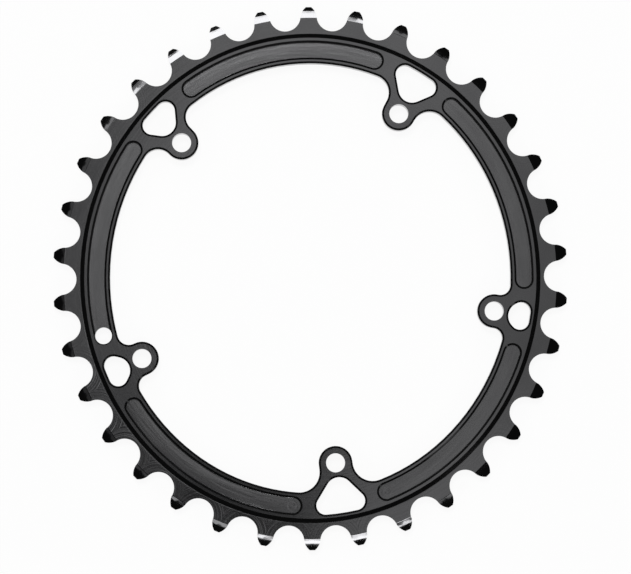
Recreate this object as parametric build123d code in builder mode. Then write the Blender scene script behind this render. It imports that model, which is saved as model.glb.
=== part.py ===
from build123d import *

import os
from math import acos, cos, degrees, hypot, pi, radians, sin, tan

# Oval bicycle chainring for a five-bolt crank, milled from one aluminium plate.
# It lies on its back: +Z is the outer face, +Y is the long axis of the oval, and
# the origin is the centre of the bolt circle on the back face. Sizes are millimetres.

# Chain and teeth
tooth_count = 34
chain_pitch = 12.7
oval_rise = 1.97
seat_radius = 4.2
tooth_rise = 2.42
tip_width = 1.4
head_radius = 4.3
tooth_thickness = 2.0
bevel_length = 2.95
bevel_start_angle = 5.0
bevel_radius = 13.3

# Plate and its stepped rim
plate_thickness = 4.0
back_step = 1.0
gullet_land = 0.95
shoulder_width = 1.18
shoulder_drop = 0.9
rim_width = 6.87

# Bolt tabs
bolt_circle = 100.0
bolt_count = 5
bolt_hole = 5.1
tab_width = 9.0
crank_tab_angle = 205.3
root_fillet_share = 0.72

# Windows over the tabs
window_lip = 0.9
window_wall = 1.35
window_half_angle = 38.5
window_apex_radius = 3.65
window_corner_radius = 2.5
corner_limit = 0.95

# Pockets between the tabs, and the hole that marks the tab behind the crank arm
pocket_lip = 1.25
pocket_width = 4.05
pocket_depth = 1.0
pocket_web = 3.61
index_hole = 4.5

# Broken edges
chamfer_width = 0.54
chamfer_depth = 0.4
lip_land = 0.2

# The chain wraps the oval as it would a round ring of the same girth
round_pitch_radius = chain_pitch / (2 * sin(pi / tooth_count))
pitch_radius = round_pitch_radius - oval_rise**2 / (4 * round_pitch_radius)
chord_sag = chain_pitch**2 / (8 * pitch_radius)
tip_radius = pitch_radius - chord_sag + tooth_rise

# Mean radii of the ovals, from the gullets inward
shoulder_foot = pitch_radius - seat_radius - gullet_land
face_edge = shoulder_foot - shoulder_width
window_rim = face_edge - window_lip
pocket_line = face_edge - pocket_lip - pocket_width / 2
bore_radius = face_edge - rim_width

# Broken edges leave some flat on the lip between a pocket and the bore
bore_lip = rim_width - pocket_lip - pocket_width
edge_break = min(chamfer_width, (bore_lip - lip_land) / 2)

bolt_radius = bolt_circle / 2
bolt_angles = [crank_tab_angle + 360 / bolt_count * i for i in range(bolt_count)]

# Distance from a bolt centre out to the sharp apex of its window
half_angle = radians(window_half_angle)
apex_distance = bolt_hole / 2 + window_wall - window_apex_radius * (1 / sin(half_angle) - 1)


def oval(mean_radius):
    """Half widths, across and along, of an oval that runs beside the pitch line."""
    return mean_radius - oval_rise, mean_radius + oval_rise


def oval_point(mean_radius, angle):
    """Point of an oval seen from the centre at an angle."""
    across, along = oval(mean_radius)
    heading = Vector(cos(radians(angle)), sin(radians(angle)))
    return heading * across * along / hypot(along * heading.X, across * heading.Y)


def window_height(angle):
    """Height of a window above its sharp apex, where the rim is seen at an angle."""
    return oval_point(window_rim, angle).length - bolt_radius - apex_distance


def corner_radius(tab_angle):
    """Radius of a window's rim corners, limited by what the apex leaves of its sides."""
    side_left = window_height(tab_angle) / cos(half_angle) - window_apex_radius / tan(half_angle)
    return min(window_corner_radius, corner_limit * side_left * tan(pi / 4 - half_angle / 2))


def pocket_end(tab_angle, side):
    """Angle of the centre of a pocket's round end, on one side (-1 or 1) of a tab."""
    corner_loss = corner_radius(tab_angle) * (tan(half_angle) + 1 / cos(half_angle) - 1)
    web = pocket_web + edge_break + pocket_width / 2
    angle = tab_angle
    # The rim rises toward the long axis, so the second pass measures it where the pocket ends
    for _ in range(2):
        half_window = window_height(angle) * tan(half_angle) - corner_loss
        angle = tab_angle + side * degrees((half_window + web) / oval_point(pocket_line, angle).length)
    return angle


# Tooth blade: a thin oval lens with bevelled edges, trimmed to the tooth outline
with BuildLine() as pitch_line:
    EllipticalCenterArc((0, 0), *oval(pitch_radius), arc_size=360)
seats = [pitch_line.line @ (i / tooth_count) for i in range(tooth_count)]
bevel_start = radians(bevel_start_angle)
bevel_end = acos(cos(bevel_start) - tooth_thickness / 2 / bevel_radius)
bevel_sections = 5
with BuildPart() as blade:
    for i in range(bevel_sections):
        slope = bevel_start + (bevel_end - bevel_start) * i / (bevel_sections - 1)
        run = bevel_radius * (sin(slope) - sin(bevel_start))
        drop = bevel_radius * (cos(bevel_start) - cos(slope))
        with BuildSketch(Plane.XY.offset(back_step + tooth_thickness - drop)):
            Ellipse(*oval(tip_radius - bevel_length + run))
    loft()
    mirror(about=Plane.XY.offset(back_step + tooth_thickness / 2))
    with BuildSketch(Plane.XY.offset(back_step)) as tooth_outline:
        with BuildLine():
            for i in range(tooth_count):
                before, after, later = (seats[(i + j) % tooth_count] for j in range(3))
                along = (after - before).normalized()
                outward = Vector(along.Y, -along.X)
                middle = (before + after) / 2 + outward * tooth_rise
                foot_in = before + along * seat_radius
                foot_out = after - along * seat_radius
                next_foot = after + (later - after).normalized() * seat_radius
                tip_in = middle - along * tip_width / 2
                tip_out = middle + along * tip_width / 2
                RadiusArc(foot_in, tip_in, -head_radius)
                Line(tip_in, tip_out)
                RadiusArc(tip_out, foot_out, -head_radius)
                RadiusArc(foot_out, next_foot, seat_radius)
        make_face()
        Ellipse(*oval(face_edge), mode=Mode.SUBTRACT)
    extrude(amount=tooth_thickness, mode=Mode.INTERSECT)

with BuildPart() as chainring:
    # Plate with its bore and tabs
    with BuildSketch() as plate:
        Ellipse(*oval(shoulder_foot))
        Ellipse(*oval(bore_radius), mode=Mode.SUBTRACT)
        for angle in bolt_angles:
            root = oval_point(bore_radius, angle)
            reach = root.length - bolt_radius
            with PolarLocations(bolt_radius, 1, start_angle=angle):
                Circle(tab_width / 2)
                Rectangle(reach + tab_width / 2, tab_width, align=(Align.MIN, Align.CENTER))
            fillet(plate.vertices().sort_by_distance(root)[:2], reach * root_fillet_share)
    extrude(amount=plate_thickness)

    # Windows, rounded triangles that point at the bolts
    with BuildSketch() as windows:
        far = 2 * (face_edge - bolt_radius)
        half_far = (far - apex_distance) * tan(half_angle)
        for angle in bolt_angles:
            with PolarLocations(bolt_radius, 1, start_angle=angle):
                Polygon((apex_distance, 0), (far, -half_far), (far, half_far), align=None)
        Ellipse(*oval(window_rim), mode=Mode.INTERSECT)
        for angle in bolt_angles:
            bolt = Vector(bolt_radius, 0).rotate(Axis.Z, angle)
            fillet(windows.vertices().sort_by_distance(bolt)[1:3], corner_radius(angle))
            fillet(windows.vertices().sort_by_distance(bolt)[:1], window_apex_radius)
    extrude(amount=plate_thickness, mode=Mode.SUBTRACT)

    # Shoulders and broken edges on both faces
    for side in (0, -1):
        face = chainring.faces().sort_by(Axis.Z)[side]
        chamfer(face.outer_wire().edges(), shoulder_width, shoulder_drop, reference=face)
        face = chainring.faces().sort_by(Axis.Z)[side]
        chamfer(face.inner_wires().edges(), edge_break, chamfer_depth, reference=face)

    # Shallow pockets that follow the rim
    with BuildSketch(Plane.XY.offset(plate_thickness)):
        for angle in bolt_angles:
            start = pocket_end(angle, 1)
            end = pocket_end(angle + 360 / bolt_count, -1)
            stops = [start + (end - start) * share for share in (0, 0.25, 0.5, 1)]
            first, second, third, last = (oval_point(pocket_line, stop) for stop in stops)
            with BuildLine(mode=Mode.PRIVATE) as slot:
                ThreePointArc(first, second, third)
                TangentArc(third, last, tangent=slot.line % 1)
            SlotArc(slot.wire(), pocket_width)
    extrude(amount=-pocket_depth, mode=Mode.SUBTRACT)
    rims = chainring.edges(Select.LAST).group_by(Axis.Z)
    face = chainring.faces().sort_by(Axis.Z)[-1]
    chamfer(rims[-1], edge_break, chamfer_depth, reference=face)

    # Bolt holes and the index hole
    with PolarLocations(bolt_radius, bolt_count, start_angle=crank_tab_angle):
        Hole(bolt_hole / 2)
    with Locations(oval_point(pocket_line, pocket_end(crank_tab_angle, -1))):
        Hole(index_hole / 2)

    add(blade.part)

chainring.part.label = "chainring"

os.makedirs("parts", exist_ok=True)
export_step(chainring.part, "parts/chainring.step")
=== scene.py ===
from math import cos, pi, radians, sin

import bmesh
import bpy
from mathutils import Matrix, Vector


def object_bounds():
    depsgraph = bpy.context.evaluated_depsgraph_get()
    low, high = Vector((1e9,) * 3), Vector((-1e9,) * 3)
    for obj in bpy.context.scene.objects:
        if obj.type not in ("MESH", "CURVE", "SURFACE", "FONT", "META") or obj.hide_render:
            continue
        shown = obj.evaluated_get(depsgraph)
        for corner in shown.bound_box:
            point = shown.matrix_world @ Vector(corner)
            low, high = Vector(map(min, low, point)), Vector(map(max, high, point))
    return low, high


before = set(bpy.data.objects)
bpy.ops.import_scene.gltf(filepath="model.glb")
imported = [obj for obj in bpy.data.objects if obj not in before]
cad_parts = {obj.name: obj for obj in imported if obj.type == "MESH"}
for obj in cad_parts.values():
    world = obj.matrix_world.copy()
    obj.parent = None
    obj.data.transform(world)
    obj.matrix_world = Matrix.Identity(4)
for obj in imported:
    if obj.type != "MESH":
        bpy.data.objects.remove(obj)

cad_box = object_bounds()


# Chainring
# One aluminium plate, faced and milled to its oval outline, with shallow pockets cut by an end mill.
# It is anodised black as it leaves the mill, so the cutter's marks still show in its satin finish.

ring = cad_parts["chainring"]
tooth_count = 34
chain_pitch = 0.0127
pitch_radius = 0.06881
oval_rise = 0.00197
bevel_inset = 0.00083
shoulder_inset = 0.00515
pocket_inset = 0.00961
pocket_half_width = 0.00203
pocket_depth = 0.0010

# Mean radii of the ovals that the marks follow, and the height of the pockets' floors
bevel_radius = pitch_radius - bevel_inset
shoulder_radius = pitch_radius - shoulder_inset
pocket_line_radius = pitch_radius - pocket_inset
plate_top = cad_box[1][2]
floor_height = plate_top - pocket_depth

anodised = bpy.data.materials.new("black_anodised_finish")
anodised.use_nodes = True
anodised.node_tree.nodes.clear()


def add_node(tree, kind, inputs=(), **settings):
    """Outputs of a new node, whose inputs are set to values or linked to other nodes' outputs."""
    node = tree.nodes.new(kind)
    for name, value in settings.items():
        setattr(node, name, value)
    for key, value in dict(inputs).items():
        if isinstance(value, bpy.types.NodeSocket):
            tree.links.new(value, node.inputs[key])
        else:
            node.inputs[key].default_value = value
    return node.outputs


def finish_node(kind, inputs=(), **settings):
    """Outputs of a new node of the anodised finish."""
    return add_node(anodised.node_tree, kind, inputs, **settings)


def calc(operation, *values):
    """Result of one sum on numbers or on other nodes' outputs."""
    return finish_node("ShaderNodeMath", enumerate(values), operation=operation)[0]


def total(first, *others):
    """Values added up."""
    for other in others:
        first = calc("ADD", first, other)
    return first


def product(first, *others):
    """Values multiplied together."""
    for other in others:
        first = calc("MULTIPLY", first, other)
    return first


def length(along, across):
    """Straight distance, from its two parts at right angles."""
    return calc("SQRT", total(product(along, along), product(across, across)))


def share(value, none, full):
    """Share from 0 to 1, which rises smoothly as a value goes from none to full, up or down."""
    inputs = {"Value": value, "From Min": none, "From Max": full}
    return finish_node("ShaderNodeMapRange", inputs, interpolation_type="SMOOTHSTEP")["Result"]


def between(first, last, share_of_last):
    """A value between two others."""
    return calc("MULTIPLY_ADD", share_of_last, last - first, first)


def grain(vector, detail, scale=1.0):
    """Soft noise from 0 to 1."""
    inputs = {"Vector": vector, "Scale": scale, "Detail": detail, "Roughness": 0.55}
    return finish_node("ShaderNodeTexNoise", inputs)["Fac"]


def joined(*values):
    """Vector of three values."""
    return finish_node("ShaderNodeCombineXYZ", enumerate(values))[0]


# Places on the ring: mean radius of the oval through them, and distance from the nearest roller's seat
place = finish_node("ShaderNodeTexCoord")["Object"]
x, y, z = finish_node("ShaderNodeSeparateXYZ", {0: place})
radius = length(x, y)
heading_x = calc("DIVIDE", x, radius)
heading_y = calc("DIVIDE", y, radius)
lean = calc("SUBTRACT", product(heading_x, heading_x), product(heading_y, heading_y))
oval_radius = total(product(lean, oval_rise), radius)
turn = calc("ARCTAN2", y, x)
most_bend = oval_rise / (2 * pitch_radius)
bend = product(calc("SINE", product(turn, 2.0)), most_bend)
tooth_turn = product(calc("SUBTRACT", turn, bend), tooth_count / (2 * pi))
seat_along = product(calc("PINGPONG", tooth_turn, 0.5), chain_pitch)
seat_out = calc("SUBTRACT", oval_radius, pitch_radius)
seat_distance = length(seat_along, seat_out)


def marks_along(turns, width):
    """Marks of a given width that run along the oval, broken up a number of times round it."""
    across = calc("DIVIDE", oval_radius, width)
    return grain(joined(product(heading_x, turns), product(heading_y, turns), across), detail=2.0)


# Feed marks run along the oval all over the ring
feed_turns = 9.0
feed_width = 0.00055
feed_marks = marks_along(feed_turns, feed_width)

# The bevels are cut more finely than the faces, with one thin line round them
bevel_blend = 0.0001
line_distance = 0.00185
line_half_width = 0.00022
on_bevel = share(oval_radius, bevel_radius - bevel_blend, bevel_radius + bevel_blend)
off_line = calc("ABSOLUTE", calc("SUBTRACT", oval_radius, bevel_radius + line_distance))
bevel_line = share(off_line, line_half_width, 0.0)

# On the teeth the marks follow the gullets, as the cutter went round them
gullet_breaks = 1.3
gullet_width = 0.00050
shoulder_blend = 0.0002
gullet_across = calc("DIVIDE", seat_distance, gullet_width)
gullet_marks = grain(joined(gullet_across, product(tooth_turn, gullet_breaks), z), detail=1.0)
past_shoulder = share(oval_radius, shoulder_radius - shoulder_blend, shoulder_radius + shoulder_blend)
on_teeth = calc("SUBTRACT", past_shoulder, on_bevel)

# Pocket floors are crowned between the passes of the cutter, and streaked along
streak_turns = 5.0
streak_width = 0.0011
wall_start = 0.96
wall_end = 1.02
height_slack = 0.0001
streaks = marks_along(streak_turns, streak_width)
across_pocket = calc("DIVIDE", calc("SUBTRACT", oval_radius, pocket_line_radius), pocket_half_width)
inside_walls = share(calc("ABSOLUTE", across_pocket), wall_end, wall_start)
off_floor = calc("ABSOLUTE", calc("SUBTRACT", z, floor_height))
in_pocket = product(inside_walls, share(off_floor, 2 * height_slack, height_slack))


def distance_from_end(angle):
    """Distance from the middle of a pocket's round end, which is seen from the centre at an angle."""
    end_turn = radians(angle)
    end_radius = pocket_line_radius - oval_rise * cos(2 * end_turn)
    end_place = (end_radius * cos(end_turn), end_radius * sin(end_turn), floor_height)
    return finish_node("ShaderNodeVectorMath", {0: place, 1: end_place}, operation="DISTANCE")["Value"]


# The end mill went down at the two pocket ends beside one tab and left round marks there
left_end_angle = 265.2
right_end_angle = 289.1
swirl_width = 0.00045
swirl_breaks = 250.0
swirl_radius = 0.0012
swirl_edge = 0.0017
end_distance = calc("MINIMUM", distance_from_end(right_end_angle), distance_from_end(left_end_angle))
swirl_out = calc("DIVIDE", end_distance, swirl_width)
swirls = grain(joined(swirl_out, product(x, swirl_breaks), product(y, swirl_breaks)), detail=1.0)
in_swirl = share(end_distance, swirl_edge, swirl_radius)
off_swirl = calc("SUBTRACT", 1.0, in_swirl)

# Marks are deeper on one stretch of the ring, as where a plate is held less firmly
loose_middle = radians(228.0)
loose_full = radians(16.26)
loose_end = radians(45.57)
loose_side = total(product(heading_x, cos(loose_middle)), product(heading_y, sin(loose_middle)))
loose = share(loose_side, cos(loose_end), cos(loose_full))

# Heights of the marks
micron = 0.000001
feed_depth = between(8.0 * micron, 1.8 * micron, on_bevel)
line_depth = 4.0 * micron
gullet_depth = between(5.0 * micron, 33.0 * micron, loose)
crown_drop = between(-18.0 * micron, -63.0 * micron, loose)
streak_depth = between(26.0 * micron, 66.0 * micron, loose)
swirl_depth = 30.0 * micron
feed_height = product(feed_marks, feed_depth)
line_height = product(bevel_line, line_depth)
gullet_height = product(gullet_marks, on_teeth, gullet_depth)
crown_height = product(across_pocket, across_pocket, crown_drop)
streak_height = product(streaks, streak_depth, off_swirl)
swirl_height = product(swirls, swirl_depth, in_swirl)
pocket_height = product(total(crown_height, streak_height, swirl_height), in_pocket)
relief = total(feed_height, gullet_height, pocket_height, line_height)
bump = finish_node("ShaderNodeBump", {"Strength": 1.0, "Distance": 1.0, "Height": relief})[0]

# The dye clouds a little in its bath. The pockets' streaks are painted paler in the colour, a painted
# sheen where the cutter's streaks catch the light
cloud_scale = 60.0
painted_sheen_gain = 1.1
sheen_free_streak = 0.2
dark_dye = (0.062, 0.062, 0.064, 1.0)
pale_dye_and_sheen = (0.090, 0.090, 0.092, 1.0)
cloud = grain(place, detail=3.0, scale=cloud_scale)
# Painted sheen: the pocket floors' streaks are made paler in the colour itself, standing in for light they
# reflect
painted_pocket_sheen = product(calc("SUBTRACT", streaks, sheen_free_streak), painted_sheen_gain, in_pocket)
cloud_and_painted_sheen = total(painted_pocket_sheen, cloud)
# The pale colour serves both the dye's random clouding and the painted sheen in the pockets
dye = finish_node("ShaderNodeMix", {0: cloud_and_painted_sheen, 6: dark_dye, 7: pale_dye_and_sheen}, data_type="RGBA")[2]

# Gloss: the bevels have the most, and the pockets' floors the least
least_roughness = 0.06
feed_roughness = product(feed_marks, 0.06)
cloud_roughness = product(cloud, 0.05)
pocket_roughness = product(in_pocket, 0.085)
bevel_roughness = product(on_bevel, -0.035)
roughness = total(least_roughness, feed_roughness, cloud_roughness, pocket_roughness, bevel_roughness)

black_satin = {"Base Color": dye, "Metallic": 1.0, "Roughness": roughness, "Normal": bump}
surface = finish_node("ShaderNodeBsdfPrincipled", black_satin)[0]
finish_node("ShaderNodeOutputMaterial", {"Surface": surface})
for material_slot in ring.material_slots:
    material_slot.material = anodised


# Table
# A plain white sheet that the ring lies on. It shows white to the camera and in reflections,
# and keeps a faint shadow of the ring.

scene = bpy.context.scene
table_reach = 12.0
table_height = -0.0002
table_mesh = bpy.data.meshes.new("table")
sheet = bmesh.new()
bmesh.ops.create_grid(sheet, x_segments=1, y_segments=1, size=table_reach)
bmesh.ops.translate(sheet, verts=sheet.verts, vec=(0.0, 0.0, table_height))
sheet.to_mesh(table_mesh)
sheet.free()
table = bpy.data.objects.new("table", table_mesh)
scene.collection.objects.link(table)

paper = bpy.data.materials.new("white_paper")
paper.use_nodes = True
paper.node_tree.nodes.clear()
paper_white = (0.95, 0.95, 0.95, 1.0)
full_white = (1.0, 1.0, 1.0, 1.0)
glow_share = 0.92


def paper_node(kind, inputs=(), **settings):
    """Outputs of a new node of the paper."""
    return add_node(paper.node_tree, kind, inputs, **settings)


matt = paper_node("ShaderNodeBsdfDiffuse", {"Color": paper_white})[0]
glow = paper_node("ShaderNodeEmission", {"Color": full_white, "Strength": 1.0})[0]
path = paper_node("ShaderNodeLightPath")
seen = path["Is Camera Ray"]
for ray in ("Is Glossy Ray", "Is Transmission Ray"):
    seen = paper_node("ShaderNodeMath", {0: seen, 1: path[ray]}, operation="MAXIMUM")[0]
seen_glow = paper_node("ShaderNodeMath", {0: seen, 1: glow_share}, operation="MULTIPLY")[0]
mixed = paper_node("ShaderNodeMixShader", {0: seen_glow, 1: matt, 2: glow})[0]
paper_node("ShaderNodeOutputMaterial", {"Surface": mixed})
table_mesh.materials.append(paper)


# Studio light
# Two round soft boxes hang beyond the ends of the oval, each before a wider and dimmer cloth. Dimmer
# panels hang round the camera's place, and a lit band runs round the walls of a dark room.

overhead = 1.50
above = 1.51
below = 1.49


def soft_box(name, shape, centre, size, radiance, turn=0.0):
    """Flat light of a given brightness, facing down, and turned on the spot by some degrees."""
    lamp = bpy.data.lights.new(name, "AREA")
    lamp.shape = shape
    lamp.size, lamp.size_y = size
    area = size[0] * size[1]
    if shape == "ELLIPSE":
        area = area * pi / 4
    lamp.energy = radiance * pi * area
    box = bpy.data.objects.new(name, lamp)
    box.location = centre
    box.rotation_euler = (0.0, 0.0, radians(turn))
    scene.collection.objects.link(box)
    return box


def panel(name, x_range, y_range, radiance, height=overhead):
    """Rectangular light that hangs level over a stretch of the table."""
    centre = (sum(x_range) / 2, sum(y_range) / 2, height)
    size = (x_range[1] - x_range[0], y_range[1] - y_range[0])
    soft_box(name, "RECTANGLE", centre, size, radiance)


soft_box("box_far", "ELLIPSE", (-0.155, 0.695, overhead), (0.60, 0.63), radiance=11.2, turn=13.0)
soft_box("cloth_far", "ELLIPSE", (-0.147, 0.619, above), (1.02, 0.53), radiance=1.4, turn=-13.0)
soft_box("box_near", "ELLIPSE", (0.113, -0.561, overhead), (0.44, 0.21), radiance=9.9, turn=-9.5)
soft_box("cloth_near", "ELLIPSE", (-0.050, -0.556, above), (0.58, 0.205), radiance=3.5, turn=-23.5)
panel("panel_far", (-0.092, 0.34), (0.16, 0.34), radiance=1.18)
panel("panel_middle", (-0.08, 0.01), (0.01, 0.16), radiance=1.6)
panel("panel_right", (0.04, 0.36), (-0.04, 0.16), radiance=0.76)
panel("panel_near", (0.035, 0.34), (-0.30, -0.04), radiance=1.25)
panel("panel_left", (-0.21, -0.08), (-0.08, 0.24), radiance=0.54)
panel("panel_edge", (-0.36, -0.21), (0.0, 0.24), radiance=2.20)
panel("panel_low", (-0.34, -0.10), (-0.30, -0.08), radiance=0.25)
panel("panel_dim", (-0.10, 0.045), (-0.14, -0.05), radiance=0.16)
panel("panel_side", (-0.58, -0.34), (-0.30, 0.40), radiance=0.22)
panel("strip_side", (-0.60, -0.43), (0.20, 0.38), radiance=0.35, height=below)
panel("strip_far", (-0.51, -0.43), (0.38, 0.51), radiance=2.2, height=below)
panel("strip_low", (-0.42, -0.31), (-0.38, -0.28), radiance=0.5, height=below)
panel("strip_near", (0.26, 0.355), (-0.475, -0.33), radiance=1.8, height=below)

# A small box stands low beside the ring and faces it
low_distance = 1.6
low_turn = radians(315.0)
low_rise = radians(17.35)
low_reach = cos(low_rise) * low_distance
low_place = Vector((cos(low_turn) * low_reach, sin(low_turn) * low_reach, sin(low_rise) * low_distance))
box_low = soft_box("box_low", "RECTANGLE", low_place, (0.336, 0.115), radiance=0.8)
box_low.rotation_euler = (-low_place).to_track_quat("-Z", "Y").to_euler()

room = bpy.data.worlds.new("dark_room")
room.use_nodes = True
room.node_tree.nodes.clear()
band_axis = Vector((0.014, 0.048, 1.0)).normalized()
band_glow = 1.5
wall_glow = 0.035


def room_node(kind, inputs=(), **settings):
    """Outputs of a new node of the room."""
    return add_node(room.node_tree, kind, inputs, **settings)


direction = room_node("ShaderNodeTexCoord")["Generated"]
rise = room_node("ShaderNodeVectorMath", {0: direction, 1: band_axis}, operation="DOT_PRODUCT")["Value"]


def band_edge(dark_angle, lit_angle):
    """Soft edge of the lit band, between two angles above the table in degrees."""
    inputs = {"Value": rise, "From Min": sin(radians(dark_angle)), "From Max": sin(radians(lit_angle))}
    return room_node("ShaderNodeMapRange", inputs, interpolation_type="SMOOTHSTEP")["Result"]


foot = band_edge(dark_angle=23.5, lit_angle=26.5)
top = band_edge(dark_angle=39.5, lit_angle=36.0)
band = room_node("ShaderNodeMath", {0: foot, 1: top}, operation="MULTIPLY")[0]
room_glow = room_node("ShaderNodeMath", {0: band, 1: band_glow, 2: wall_glow}, operation="MULTIPLY_ADD")[0]
backdrop = room_node("ShaderNodeBackground", {"Color": full_white, "Strength": room_glow})[0]
room_node("ShaderNodeOutputWorld", {"Surface": backdrop})
scene.world = room


# Camera
# It looks nearly straight down on the ring from a metre away, a little below the middle of the oval,
# through a long lens, so that the oval and its teeth are hardly foreshortened.

camera = bpy.data.cameras.new("camera")
camera.sensor_width = 36.0
camera.lens = 212.58
camera.clip_start = 0.05
camera_object = bpy.data.objects.new("camera", camera)
camera_object.location = (-0.01422, -0.04764, 1.0)
camera_object.rotation_mode = "ZYX"
camera_object.rotation_euler = (radians(2.592), radians(-0.893), radians(-0.371))
scene.collection.objects.link(camera_object)
scene.camera = camera_object
scene.view_settings.view_transform = "Standard"
